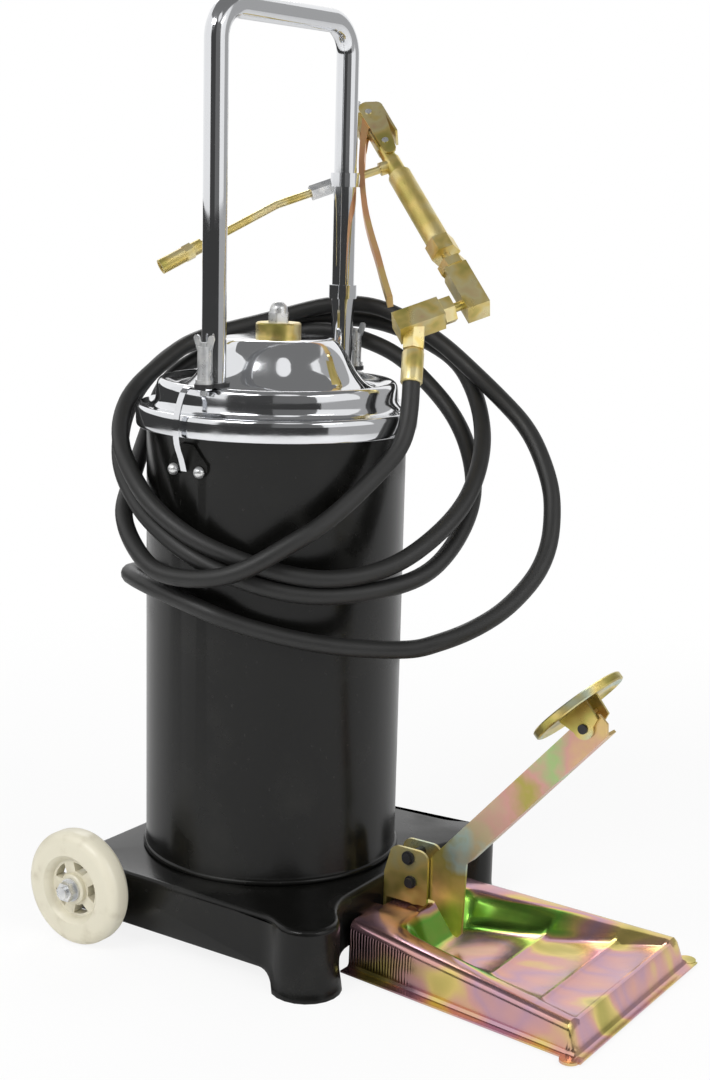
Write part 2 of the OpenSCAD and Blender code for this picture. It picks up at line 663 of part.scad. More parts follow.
// Pedal lever: a channel with its web on the near side, a lobe at the pivot and a toe
function on_bar(s, t) =
    [pivot_x + s * cos(lever_slope) + t * sin(lever_slope),
        pivot_z + s * sin(lever_slope) - t * cos(lever_slope)];
bar_low = lever_w / 2 + 8;
bar_up = bar_low - lever_w;
lever_tip = lever_len + 18;
toe_x = pivot_x + 45;
toe_z = pivot_z - 40.4;
function lever_outline() = concat(
    [on_bar(22, bar_up), on_bar(lever_tip - 7, bar_up)],
    [on_bar(lever_tip, bar_up + 7), on_bar(lever_tip, bar_low - 7), on_bar(lever_tip - 7, bar_low)],
    [on_bar(54, bar_low), [toe_x + 3.6, toe_z + 4], [toe_x, toe_z], [toe_x - 5, toe_z + 1.5],
     [pivot_x + 21, pivot_z - 13.5]],
    arc([pivot_x, pivot_z - 14], lobe_r, 8, -110, 5),
    arc([pivot_x, pivot_z - 14], lobe_r, -125, -182, 4),
    arc([pivot_x, pivot_z], 12, 200, 140, 4));
module lever_plate(t) {
    linear_extrude(t) polygon(lever_outline());
}
module pedal_lever() {
    color([0.75, 0.68, 0.35]) difference() {
        union() {
            translate([0, -lever_d / 2 + lever_t, 0]) rotate([90, 0, 0]) lever_plate(lever_t);
            for (t = [bar_up, bar_low - lever_t])
                translate([pivot_x, -lever_d / 2, pivot_z]) rotate([0, -lever_slope, 0])
                    translate([54, 0, -t - lever_t]) cube([lever_tip - 54 - 7, lever_d, lever_t]);
            translate([pivot_x, lever_d / 2, pivot_z]) rotate([90, 0, 0])
                cylinder(r = pin_r + 4, h = lever_d);
            translate([pivot_x, lever_d / 2, pivot_z - 14]) rotate([90, 0, 0])
                cylinder(r = lobe_r, h = lever_d);
            translate([pad_pin_x, lever_d / 2, pad_pin_z]) rotate([90, 0, 0])
                cylinder(r = pad_pin_r + 3, h = lever_d);
        }
        translate([pivot_x, 0, pivot_z]) rotate([90, 0, 0])
            cylinder(r = pin_r + run_gap, h = 60, center = true);
        translate([pad_pin_x, 0, pad_pin_z]) rotate([90, 0, 0])
            cylinder(r = pad_pin_r + run_gap, h = 60, center = true);
    }
}

// Disc pad with a turned rim, on two ears that straddle the lever's end
ear_in = lever_d / 2 + pass;
ear_t = 2.5;
pad_off = [-10.4, 14.5];
module pedal_pad() {
    color([0.75, 0.68, 0.35]) translate([pad_pin_x, 0, pad_pin_z]) difference() {
        union() {
            translate([pad_off[0], 0, pad_off[1]]) rotate([0, -pad_tilt, 0]) rotate_extrude($fn = 96)
                polygon([[0, -1.5], [pad_r - 5, -1.5], [pad_r - 1.5, -3.5], [pad_r, -2.5], [pad_r, 2.5],
                    [pad_r - 1.2, 3.5], [pad_r - 3.5, 3.5], [pad_r - 5, 1.5], [0, 1.5]]);
            both_sides() translate([0, ear_in + ear_t, 0]) rotate([90, 0, 0]) linear_extrude(ear_t)
                polygon(concat(arc([0, 0], 9, -150, 20, 8),
                    [[12, 10], [pad_off[0] + 15 * cos(pad_tilt) + 0.5, pad_off[1] + 15 * sin(pad_tilt) - 1],
                     [pad_off[0] - 17 * cos(pad_tilt), pad_off[1] - 17 * sin(pad_tilt)], [-13, -2]]));
        }
        rotate([90, 0, 0]) cylinder(r = pad_pin_r + run_gap, h = 60, center = true);
    }
}
module pad_pin() {
    color([0.2, 0.2, 0.2]) translate([pad_pin_x, 0, pad_pin_z]) rotate([90, 0, 0])
        cylinder(r = pad_pin_r, h = 2 * (ear_in + ear_t) + 3, center = true);
}

// Screws that hang the tray on the base
tray_screw_y = 36;
tray_screw_z = 28;
// Foot tray: one pressed sheet, a wedge with a flange all round and a sunk floor that
// opens out and rises towards the front
tray_len = tray_front - tray_rear;
front_wall = tray_front - 9;
rear_ledge = 30;
rear_wall = 22;
floor_rear = tray_rear + rear_ledge + rear_wall;
ledge_z = pump_z - lobe_r - 0.7;
rib_at = [tray_rear + 120, tray_rear + 177];
function mix(a, b, t) = a + (b - a) * t;
function ease(t) = let (c = min(1, max(0, t))) c * c * (3 - 2 * c);
function half_w(x) = mix(tray_rear_w, tray_front_w, (x - tray_rear) / tray_len);
function wall_w(x) = half_w(x) - mix(13, 7, (x - tray_rear) / tray_len);
function rim_z(x) = mix(tray_rear_h, tray_front_h, (x - tray_rear) / (front_wall - 14 - tray_rear));
// Half widths of the recess at the rim and at its floor, as shares of the tray's length
function rim_in(x) = half_w(x) - lookup((x - tray_rear) / tray_len,
    [[0, 47], [0.13, 42], [0.2, 34], [0.38, 28], [0.52, 25], [0.7, 22], [0.96, 17.5]]);
function floor_in(x) = half_w(x) - lookup((x - tray_rear) / tray_len,
    [[0, 60], [0.29, 58], [0.5, 56], [0.75, 42], [0.96, 24.5]]);
function bump(t) = abs(t) >= 1 ? 0 : pow(1 - t * t, 2);
function floor_z(x) = mix(floor_rear_z, floor_front_z, (x - floor_rear) / (front_wall - 12 - floor_rear))
    + 2.2 * (bump((x - rib_at[0]) / 5) + bump((x - rib_at[1]) / 5));
// Height of the middle of the sheet: ledge, rear wall, floor, low lip, front wall and flange
function mid_z(x) =
    x < tray_rear + rear_ledge ? ledge_z
    : x < floor_rear ? mix(ledge_z, floor_rear_z, ease((x - tray_rear - rear_ledge) / rear_wall))
    : x < front_wall - 12 ? floor_z(x)
    : x < front_wall - 4 ? mix(floor_front_z, floor_front_z + 1.8, ease((x - front_wall + 12) / 3))
    : mix(floor_front_z + 1.8, 3.4, ease((x - front_wall + 4) / 7));
function side_z(x) = x > front_wall - 8 ? mix(rim_z(x), 3.4, ease((x - front_wall + 8) / 11)) : rim_z(x);
function tray_section(x) =
    let (w = half_w(x), o = wall_w(x), a = rim_in(x), f = floor_in(x), r = side_z(x), m = min(r, mid_z(x)))
    concat(
        [[w, 3.3], [o + 2.5, 3.3], [o + 0.8, min(r, 5.5)]],
        [for (d = [[0, 7], [-1.2, 3.2], [-3.6, 0.9], [-6.5, 0]]) [o + d[0], min(r, max(5.5, r - d[1]))]],
        [for (t = [1:-0.2:0]) [mix(f, a, t), mix(m, r, ease(t))]],
        [[f - 5, m], [f / 2, m], [0, m]]);
function tray_row(x) =
    let (h = tray_section(x), n = len(h))
    concat([for (p = h) [x, -p[0], p[1]]], [for (i = [n - 2:-1:0]) [x, h[i][0], h[i][1]]]);
// The sheet's other face: each point moved along the normal by the thickness
function under(rows, k, i) =
    let (n = len(rows[0]) - 1, m = len(rows) - 1,
         u = rows[min(k + 1, m)][i] - rows[max(k - 1, 0)][i],
         v = rows[k][min(i + 1, n)] - rows[k][max(i - 1, 0)])
    rows[k][i] - tray_t * unit(cross(u, v));
module foot_tray() {
    xs = concat([for (k = [0, 10, 20, 28]) tray_rear + k],
        [for (k = [0:2.2:rear_wall]) tray_rear + rear_ledge + k], [for (k = [10, 25, 45]) floor_rear + k],
        [for (r = rib_at, k = [-5, -2.5, 0, 2.5, 5]) r + k], [rib_at[1] + 14],
        [for (k = [-12, -10.5, -9, -8, -6, -4, -2.5, -1, 0.5, 2, 3]) front_wall + k],
        [tray_front - 2, tray_front]);
    rows = [for (x = xs) tray_row(x)];
    color([0.75, 0.68, 0.35]) difference() {
        union() {
            skin([for (k = [0:len(xs) - 1])
                concat(rows[k], backwards([for (i = [0:len(rows[0]) - 1]) under(rows, k, i)]))],
                turned = len(rows[0]));
            both_sides() translate([front_wall - 0.6, tray_front_w - 1, 1.5]) cylinder(r = 8, h = 2.1);
            for (y = [-tray_screw_y, tray_screw_y]) translate([base_front, y - 13, 0]) {
                translate([0, 0, ledge_z - tray_t]) cube([tray_rear + 3 - base_front, 26, tray_t]);
                translate([0, 0, tray_screw_z - 8]) cube([tray_t, 26, ledge_z - tray_screw_z + 8]);
            }
        }
        for (y = [-tray_screw_y, tray_screw_y]) translate([base_front - 5, y, tray_screw_z])
            rotate([0, 90, 0]) cylinder(r = screw_r + run_gap, h = 20);
    }
}
module tray_screws() {
    color([0.6, 0.6, 0.6]) for (y = [-tray_screw_y, tray_screw_y])
        translate([base_front, y, tray_screw_z]) rotate([0, 90, 0]) {
            translate([0, 0, -base_wall - 2]) cylinder(r = screw_r, h = base_wall + 2 + tray_t + 1);
            translate([0, 0, tray_t]) cylinder(r = 5, h = 2.5);
        }
}

// Gun: local Z runs up the body, local X along the spout
module gun() {
    translate(gun_at) rotate([0, gun_lean, gun_turn]) rotate([0, 0, spout_turn]) children();
}
module gun_body() {
    color([0.75, 0.7, 0.4]) gun() difference() {
        union() {
            translate([0, 0, grip_top]) cylinder(r = 8, h = 19);
            translate([0, 0, grip_top + 18]) cylinder(r = yoke_in - 0.4, h = 16);
            translate([-6, -nose_w / 2, 18]) cube([12, nose_w, 30]);
            translate([-6, -nose_w / 2, 46]) cube([20, nose_w, 24]);
            translate([4, 0, 0]) rotate([0, 90, 0]) cylinder(r = 6, h = 9);
        }
        for (z = [pin1_z, pin2_z + 10]) translate([pin_x, 0, z]) rotate([90, 0, 0])
            cylinder(r = 2 + run_gap, h = 40, center = true);
        translate([6, 0, 0]) rotate([0, 90, 0]) cylinder(r = pipe_r + run_gap, h = 20);
    }
}
module gun_yoke() {
    color([0.78, 0.74, 0.5]) gun() difference() {
        union() {
            both_sides() translate([0, yoke_in + yoke_t, 0]) rotate([90, 0, 0]) linear_extrude(yoke_t)
                polygon(concat(arc([-2, 13], 6, 200, 340, 5), arc([-3, 68], 8, -10, 100, 5),
                    arc([-10, 66], 7, 100, 180, 4)));
            translate([-17, -yoke_in - yoke_t, 30]) cube([yoke_t, 2 * (yoke_in + yoke_t), 34]);
        }
        for (z = [pin1_z, pin2_z + 10]) translate([pin_x, 0, z]) rotate([90, 0, 0])
            cylinder(r = 2 + run_gap, h = 40, center = true);
    }
}
module gun_pins() {
    color([0.7, 0.7, 0.7]) gun() for (z = [pin1_z, pin2_z + 10]) translate([pin_x, 0, z])
        rotate([90, 0, 0]) {
        cylinder(r = 2, h = 2 * (yoke_in + yoke_t) + 1, center = true);
        for (s = [-1, 1]) scale([1, 1, s]) translate([0, 0, yoke_in + yoke_t]) cylinder(r = 3, h = 0.8);
    }
}
// Trigger: a long pressed lever on the upper pin, with a slot where the spout passes
trigger_w = 2 * yoke_in - 0.8;
trigger_t = 5;
ear_plate = (trigger_w - nose_w) / 2 - 0.3;
trigger_line = smooth([[14.5, 42], [20, 30], [33, 0], [46, -40], [53, -72], [57, -96], [62, -122],
    [66, -146]], 3);
module trigger() {
    color([0.72, 0.42, 0.25]) gun() difference() {
        union() {
            translate([0, trigger_w / 2, 0]) rotate([90, 0, 0]) linear_extrude(trigger_w)
                polygon(concat(trigger_line, backwards(beside(trigger_line, -trigger_t))));
            both_sides() translate([0, trigger_w / 2, 0]) rotate([90, 0, 0]) linear_extrude(ear_plate)
                polygon(concat(arc([pin_x, pin1_z], 5, 20, 230, 6), [[8, 41], [14, 30], [19, 29],
                    [14.5, 42]]));
        }
        translate([pin_x, 0, pin1_z]) rotate([90, 0, 0]) cylinder(r = 2 + run_gap, h = 40, center = true);
        translate([20, -pipe_r - 1.5, 0]) cube([40, 2 * pipe_r + 3, 8]);
        for (z = [0, 8]) translate([20, 0, z]) rotate([0, 90, 0]) cylinder(r = pipe_r + 1.5, h = 40);
    }
}
module gun_nipple() {
    color([0.75, 0.75, 0.77]) gun() translate([0, 0, 70]) {
        hex(4.4, 5);
        translate([0, 0, 5]) rotate_extrude() polygon([[0, 0], [3.4, 0], [3.4, 7], [2.2, 9.5], [3, 11],
            [2.6, 13], [1.2, 14], [0, 14]]);
    }
}
module gun_grip() {
    color([0.75, 0.7, 0.4]) gun() translate([0, 0, grip_end]) difference() {
        rotate_extrude() polygon([[0, 0], [grip_r - 1, 0], [grip_r, 1], [grip_r, grip_len - 1.5],
            [grip_r - 1.5, grip_len], [0, grip_len]]);
        translate([0, 0, -1]) cylinder(r = 4 + run_gap, h = 11);
    }
}
module grip_nut() {
    color([0.7, 0.62, 0.35]) gun() translate([0, 0, grip_end - 16]) {
        hex(11.5, 16);
        translate([0, 0, -10]) cylinder(r = 4, h = 36);
    }
}
module swivel_nut() {
    color([0.7, 0.62, 0.35]) gun() translate([0, 0, block1_top]) difference() {
        hex(11, 9);
        translate([0, 0, -1]) cylinder(r = 4 + run_gap, h = 12);
    }
}
module swivel_block_upper() {
    color([0.78, 0.74, 0.45]) gun() difference() {
        translate([-block_w / 2, -block_w / 2, block1_end]) cube([block_w, block_w, 50]);
        translate([0, 0, block1_top - 8]) cylinder(r = 4 + run_gap, h = 12);
        translate([2, 0, swivel_z]) rotate([0, 90, 0]) cylinder(r = 4 + run_gap, h = 20);
    }
}
module swivel_stem() {
    color([0.7, 0.62, 0.35]) gun() translate([0, 0, swivel_z]) rotate([0, 90, 0]) {
        translate([0, 0, 3]) cylinder(r = 4, h = block2_in - 3 + 6);
        translate([0, 0, block2_in - 10]) hex(10.5, 10);
    }
}
module swivel_block_lower() {
    color([0.78, 0.74, 0.45]) gun() difference() {
        translate([block2_in, -block_w / 2, swivel_z - block_w / 2])
            cube([block2_out - block2_in, block_w, block_w]);
        translate([block2_in - 1, 0, swivel_z]) rotate([0, 90, 0]) cylinder(r = 4 + run_gap, h = 8);
    }
}
// Point of the gun given in its own axes, as the rotations of gun() place it
function gun_point(p) =
    let (ca = cos(spout_turn), sa = sin(spout_turn), cb = cos(gun_lean), sb = sin(gun_lean),
         cg = cos(gun_turn), sg = sin(gun_turn),
         x1 = ca * p[0] - sa * p[1], y1 = sa * p[0] + ca * p[1],
         x2 = cb * x1 + sb * p[2], z2 = -sb * x1 + cb * p[2])
    gun_at + [cg * x2 - sg * y1, sg * x2 + cg * y1, z2];
hose_port = gun_point([outlet_at, 0, swivel_z]);
hose_dir = hose_points[0] - hose_port;
port_len = norm(hose_dir);
ferrule_len = 30;
module hose_nut() {
    color([0.72, 0.66, 0.36]) difference() {
        along(hose_port, hose_dir) cylinder(r = 8.5 / cos(30), h = port_len - ferrule_len, $fn = 6);
        gun() translate([block2_in, -block_w / 2, swivel_z - block_w / 2])
            cube([block2_out - block2_in, block_w, block_w]);
    }
}
module hose_ferrule() {
    color([0.72, 0.66, 0.36]) along(hose_port, hose_dir) translate([0, 0, port_len - ferrule_len])
        rotate_extrude() polygon([[0, 0], [7.5, 0], [hose_r + 1.8, 3], [hose_r + 1.8, ferrule_len - 1],
            [hose_r + 1, ferrule_len], [0, ferrule_len]]);
}
// The spout pipe and its bend: angle, distance from the gun and radius
spout_bend = 12;
spout_mid = 112;
spout_bend_r = 20;
spout_tangent = spout_bend_r * tan(spout_bend / 2);
module spout_nut() {
    color([0.8, 0.8, 0.78]) gun() translate([58.5, 0, 0]) rotate([0, 90, 0]) difference() {
        hex(6, 21);
        translate([0, 0, -1]) cylinder(r = pipe_r + run_gap, h = 30);
    }
}
module spout_pipe() {
    turns = [for (k = [0:4]) k * spout_bend / 4];
    line = concat([[6, 0, 0]],
        [for (a = turns) [spout_mid - spout_tangent + spout_bend_r * sin(a), spout_bend_r * (cos(a) - 1), a]],
        [[spout_mid + 92 * cos(spout_bend), -92 * sin(spout_bend), spout_bend]]);
    color([0.75, 0.7, 0.4]) gun() skin([for (p = line) [for (k = [0:23])
        [p[0] - pipe_r * sin(15 * k) * sin(p[2]), pipe_r * cos(15 * k), p[1] - pipe_r * sin(15 * k) * cos(p[2])]]]);
}
module spout_tail() {
    translate([spout_mid, 0, 0]) rotate([0, 90 + spout_bend, 0]) children();
}
module coupler() {
    color([0.72, 0.66, 0.36]) gun() spout_tail() difference() {
        union() {
            translate([0, 0, 78]) cylinder(r = 6, h = 10);
            translate([0, 0, 88]) hex(6.5, 8);
            translate([0, 0, 96]) cylinder(r = 6.6, h = 24);
        }
        translate([0, 0, 70]) cylinder(r = pipe_r + run_gap, h = 22.2);
        translate([0, 0, 106]) cylinder(r = 4.5, h = 20);
    }
}
module coupler_jaws() {
    color([0.45, 0.45, 0.45]) gun() spout_tail() translate([0, 0, 106]) difference() {
        cylinder(r = 4.4, h = 12);
        translate([0, 0, 3]) cylinder(r = 1.8, h = 20);
        for (a = [0, 60, 120]) rotate([0, 0, a]) translate([-10, -0.4, 4]) cube([20, 0.8, 20]);
    }
}
// Hook on the far handle leg: a collar with a bent band that goes over, behind and under
// the three turns of hose that pass there
hook_turn = 36.5;
hook_line = [[11, 550], [61, 550], [61, 496], [19, 496], [19, 505], [22, 505], [22, 499], [58, 499],
    [58, 547], [11, 547]];
module hose_hook() {
    color([0.1, 0.1, 0.1]) translate([handle_x, handle_half_w, 0]) rotate([0, 0, hook_turn]) difference() {
        union() {
            translate([0, 0, 543]) cylinder(r = tube_r + 2.5, h = 12);
            translate([-5, 0, 0]) rotate([90, 0, 90]) linear_extrude(10) polygon(hook_line);
        }
        translate([0, 0, 500]) cylinder(r = tube_r + run_gap, h = 100);
    }
}
// Clip on the far handle leg that holds the gun's spout
module gun_clip() {
    c = gun_point([43, 0, 0]);
    color([0.1, 0.1, 0.1]) difference() {
        hull() {
            translate([handle_x, handle_half_w, c[2] - 6]) cylinder(r = tube_r + 3, h = 12);
            translate([c[0], c[1], c[2] - 6]) cylinder(r = pipe_r + 3, h = 12);
        }
        translate([handle_x, handle_half_w, 0]) cylinder(r = tube_r + run_gap, h = 900);
        gun() rotate([0, 90, 0]) cylinder(r = pipe_r + run_gap, h = 90);
    }
}

// Hose: a tube swept along its points, with the cut ends square to the line
hose_sides = 10;
function hose_tangent(i) =
    i == 0 ? unit(hose_dir)
    : i == len(hose_points) - 1 ? [0, 0, -1]
    : unit(hose_points[i + 1] - hose_points[i - 1]);
function carried(i, prev) = let (t = hose_tangent(i)) unit(prev - (prev * t) * t);
function hose_frames(i, prev) =
    i == len(hose_points) ? [] : let (n = carried(i, prev)) concat([n], hose_frames(i + 1, n));
hose_normals = hose_frames(0, [0, 0, 1]);
module hose() {
    color([0.06, 0.06, 0.06]) skin([for (i = [0:len(hose_points) - 1])
        let (t = hose_tangent(i), n = hose_normals[i], b = cross(t, n))
        [for (k = [0:hose_sides - 1]) let (a = 360 * k / hose_sides)
            hose_points[i] + hose_r * (cos(a) * n - sin(a) * b)]]);
}

centred() base();
centred() drum();
centred() drum_lugs();
centred() lug_bolts();
centred() lid();
centred() lid_gasket();
centred() collar_nut();
centred() acorn_nut();
centred() follower_rod();
centred() follower_plate();
centred() follower_seal();
centred() pump_body();
centred() pump_plunger();
centred() inlet_nut();
centred() drum_bolts();
centred() outlet_pipe();
centred() outlet_fitting();
centred() handle();
centred() handle_feet();
centred() hold_down_posts();
centred() wing_nuts();
centred() hold_down_straps();
centred() axle();
centred() axle_spacers();
centred() axle_washers();
centred() axle_nuts();
centred() wheel_near();
centred() wheel_far();
centred() lever_bracket();
centred() bracket_screws();
centred() stop_bolt();
centred() lever_pin();
centred() pedal_lever();
centred() pedal_pad();
centred() pad_pin();
centred() foot_tray();
centred() tray_screws();
centred() gun_body();
centred() gun_yoke();
centred() gun_pins();
centred() trigger();
centred() gun_nipple();
centred() gun_grip();
centred() grip_nut();
centred() swivel_nut();
centred() swivel_block_upper();
centred() swivel_stem();
centred() swivel_block_lower();
centred() hose_nut();
centred() hose_ferrule();
centred() spout_nut();
centred() spout_pipe();
centred() coupler();
centred() coupler_jaws();
centred() hose_hook();
centred() gun_clip();
centred() hose();
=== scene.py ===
"""Foot operated grease pump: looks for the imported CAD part.

Metres, in the part's own frame: +X towards the foot tray, +Z up, floor at z = 0.
"""

import math

import bpy
from mathutils import Euler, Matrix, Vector


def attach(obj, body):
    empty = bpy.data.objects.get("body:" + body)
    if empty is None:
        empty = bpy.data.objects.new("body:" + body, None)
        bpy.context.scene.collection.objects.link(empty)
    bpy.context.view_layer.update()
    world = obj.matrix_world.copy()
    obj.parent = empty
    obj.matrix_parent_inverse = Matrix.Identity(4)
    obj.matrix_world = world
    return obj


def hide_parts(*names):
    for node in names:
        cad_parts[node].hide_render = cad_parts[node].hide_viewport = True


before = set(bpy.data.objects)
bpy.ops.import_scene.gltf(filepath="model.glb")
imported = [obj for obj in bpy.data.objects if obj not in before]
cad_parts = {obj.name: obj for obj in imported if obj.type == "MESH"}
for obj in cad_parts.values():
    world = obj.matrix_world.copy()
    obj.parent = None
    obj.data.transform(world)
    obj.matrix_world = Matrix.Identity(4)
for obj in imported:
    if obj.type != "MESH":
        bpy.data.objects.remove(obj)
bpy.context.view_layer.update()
MM = 0.001

# Camera: a 58 mm lens on a tripod, about chest high, in front of the tray's near corner.
# It looks down by eleven degrees and is held a little off level, as in the photograph.
DRUM_X = -121.25 * MM
CAMERA_AT = Vector((DRUM_X + 893.8 * MM, -1209.2 * MM, 640.2 * MM))
CAMERA_TURN = (78.617, -1.372, 34.086)
LENS_MM = 58.33
PHOTO_HEIGHT_MM = 36

lens = bpy.data.cameras.new("camera")
lens.sensor_fit = "VERTICAL"
lens.sensor_height = PHOTO_HEIGHT_MM
lens.lens = LENS_MM
camera = bpy.data.objects.new("camera", lens)
camera.location = CAMERA_AT
camera.rotation_euler = Euler([math.radians(turn) for turn in CAMERA_TURN])
bpy.context.scene.collection.objects.link(camera)
bpy.context.scene.camera = camera
bpy.context.scene.view_settings.view_transform = "Standard"


# Base and drum: pressed and welded steel under thick black stove enamel, with a faint
# orange peel, dust on the deck and fine scuffs. The drum stands on the deck, and the
# lugs for the lid's straps are riveted to it.
class Wire:
    """An output of a material's node tree, on which sums are written as expressions."""

    def __init__(self, tree, out=None):
        self.tree, self.out = tree, out

    def make(self, kind, settings=None, inputs=None, out=0):
        """Adds a node, sets it up, feeds its inputs by name or number, gives an output."""
        node = self.tree.nodes.new(kind)
        for name, value in (settings or {}).items():
            if name == "stops":
                ramp = node.color_ramp.elements
                while len(ramp) < len(value):
                    ramp.new(0.5)
                for stop, (place, colour) in zip(ramp, value):
                    stop.position, stop.color = place, colour
            else:
                setattr(node, name, value)
        for name, value in (inputs or {}).items():
            if isinstance(value, Wire):
                self.tree.links.new(value.out, node.inputs[name])
            else:
                node.inputs[name].default_value = value
        return Wire(self.tree, node.outputs[out])

    def sum(self, operation, *others):
        """One Math node over this wire and the others."""
        values = dict(enumerate((self, *others)))
        return self.make("ShaderNodeMath", {"operation": operation}, values)

    def __add__(self, other):
        return self.sum("ADD", other)

    def __sub__(self, other):
        return self.sum("SUBTRACT", other)

    def __rsub__(self, other):
        return self.sum("MULTIPLY_ADD", -1, other)

    def __mul__(self, other):
        return self.sum("MULTIPLY", other)

    __radd__, __rmul__ = __add__, __mul__

    def between(self, low, high):
        """0 below low, 1 above high, and a smooth rise between them."""
        return self.make(
            "ShaderNodeMapRange",
            {"interpolation_type": "SMOOTHSTEP"},
            {"Value": self, "From Min": low, "From Max": high},
        )

    def colours(self, at_0, at_1):
        """Blends two colours, which can be wires too."""
        pair = {6: at_0, 7: at_1}
        pair = {k: v if isinstance(v, Wire) else (*v, 1) for k, v in pair.items()}
        return self.make("ShaderNodeMix", {"data_type": "RGBA"}, {0: self, **pair}, out=2)

    def noise(self, per_metre, detail=3.0, stretch=(1, 1, 1)):
        """Soft noise over this wire's coordinates, from about 0.3 to 0.7."""
        place = self.make(
            "ShaderNodeVectorMath", {"operation": "MULTIPLY"}, {0: self, 1: stretch}
        )
        return self.make(
            "ShaderNodeTexNoise", {}, {"Vector": place, "Scale": per_metre, "Detail": detail}
        )

    def along(self, direction):
        """How far this vector points along a direction."""
        pair = {0: self, 1: direction}
        return self.make("ShaderNodeVectorMath", {"operation": "DOT_PRODUCT"}, pair, out="Value")

    def bump(self, strength, metres):
        """Normals bent by this wire, taken as a height of up to so many metres."""
        return self.make(
            "ShaderNodeBump", {}, {"Height": self, "Strength": strength, "Distance": metres}
        )


def finish(name, **plain):
    """A material with plain shader values, and its places on the part as a wire."""
    material = bpy.data.materials.new(name)
    material.use_nodes = True
    tree = material.node_tree
    for socket, value in plain.items():
        value = (*value, 1) if isinstance(value, tuple) else value
        tree.nodes["Principled BSDF"].inputs[socket.replace("_", " ")].default_value = value
    return material, Wire(tree).make("ShaderNodeTexCoord", out="Object")


def vary(material, **wires):
    """Links the wires into the material's shader."""
    tree = material.node_tree
    for socket, wire in wires.items():
        tree.links.new(wire.out, tree.nodes["Principled BSDF"].inputs[socket.replace("_", " ")])


ROUND_UP_TO = 34  # degrees between two faces that still make one round surface
PLACE_DIGITS, TINY = 6, 1e-6


def soften(mesh, degrees):
    """Shades faces that meet at less than this angle as one round surface. Nothing moves."""
    meeting, corners = {}, []
    for face in mesh.polygons:
        places = [mesh.vertices[v].co for v in face.vertices]
        for k, place in enumerate(places):
            one, two = places[k - 1] - place, places[(k + 1) % len(places)] - place
            wide = one.angle(two, 0)
            key = tuple(round(c, PLACE_DIGITS) for c in place)
            meeting.setdefault(key, []).append(face.normal * wide)
            corners.append((key, face.normal))
    limit = math.cos(math.radians(degrees))
    rounded = []
    for key, normal in corners:
        near = [n for n in meeting[key] if n.dot(normal) > limit * n.length]
        rounded.append(sum(near, normal * TINY).normalized())
    mesh.polygons.foreach_set("use_smooth", [True] * len(mesh.polygons))
    mesh.normals_split_custom_set(rounded)


def coat(material, *nodes, degrees=ROUND_UP_TO):
    """Puts the material on CAD nodes and shades their round faces smooth."""
    for name in nodes:
        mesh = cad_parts[name].data
        mesh.materials.clear()
        mesh.materials.append(material)
        soften(mesh, degrees)


CLEAN_BLACK, DUSTY_BLACK = (0.005, 0.005, 0.0045), (0.05, 0.05, 0.046)

enamel, place = finish("black enamel", Specular_IOR_Level=0.3)
dust = place.noise(14, detail=6).between(0.5, 0.8)
specks = place.noise(260, detail=2).between(0.7, 0.74)
vary(
    enamel,
    Base_Color=(dust * 0.3 + specks * 0.25).colours(CLEAN_BLACK, DUSTY_BLACK),
    Roughness=dust * 0.25 + 0.22,
    Normal=place.noise(420, detail=1).bump(0.07, 0.0006),
)
coat(enamel, "base", "drum", "drum_lugs")

# Wheels: moulded cream plastic, slightly yellowed, with patches of grime. They turn
# on the axle behind the deck, held by washers and nuts.
CLEAN_CREAM, GRIMY_CREAM = (0.74, 0.7, 0.56), (0.4, 0.34, 0.22)

plastic, place = finish("cream plastic")
grime = place.noise(45, detail=6).between(0.5, 0.78)
vary(
    plastic,
    Base_Color=(grime * 0.5).colours(CLEAN_CREAM, GRIMY_CREAM),
    Roughness=grime * 0.2 + 0.36,
)
coat(plastic, "wheel_near", "wheel_far")

# Pump body and outlet pipe: cast iron and drawn steel, bolted under the deck and left
# bare, so they are grey and rough.
iron, place = finish("cast iron", Base_Color=(0.16, 0.16, 0.165), Metallic=0.8, Roughness=0.5)
vary(iron, Normal=place.noise(500, detail=3).bump(0.4, 0.0005))
coat(iron, "pump_body", "outlet_pipe")

# Rods, posts, bolts, nuts, washers and plunger: turned and pressed steel with bright zinc
# plate, a little dull. They hold the lid, the wheels, the bracket and the tray, and the
# small parts of the gun are plated alike.
DULL_ZINC, FRESH_ZINC = (0.58, 0.59, 0.6), (0.8, 0.8, 0.79)

zinc, place = finish("bright zinc", Metallic=0.75)
vary(
    zinc,
    Base_Color=place.noise(90, detail=4).between(0.35, 0.7).colours(DULL_ZINC, FRESH_ZINC),
    Roughness=place.noise(120) * 0.3 + 0.14,
)
coat(
    zinc, "acorn_nut", "follower_rod", "hold_down_posts", "wing_nuts", "lug_bolts", "axle",
    "axle_spacers", "axle_washers", "axle_nuts", "bracket_screws", "tray_screws",
    "drum_bolts", "inlet_nut", "pump_plunger", "gun_nipple", "gun_pins", "spout_nut",
    "coupler_jaws", "follower_plate",
)

# Foot plates of the handle, stop bolt and pins: blackened steel with an oily sheen. The
# plates are welded to the handle's ends, the pins are pressed in.
blackened, place = finish("blackened steel", Base_Color=(0.05, 0.05, 0.052), Metallic=0.7)
vary(blackened, Roughness=place.noise(150) * 0.3 + 0.25)
coat(blackened, "handle_feet", "stop_bolt", "pad_pin", "lever_pin")

# Gasket and follower seal: moulded black rubber. The gasket lies under the lid's brim,
# the seal wipes the drum's wall as the follower sinks.
RUBBER_BLACK = (0.013, 0.013, 0.0125)

rubber, place = finish("hose rubber", Base_Color=RUBBER_BLACK)
vary(
    rubber,
    Roughness=place.noise(60) * 0.24 + 0.36,
    Normal=place.noise(900, detail=2).bump(0.12, 0.0004),
)
coat(rubber, "lid_gasket", "follower_seal")

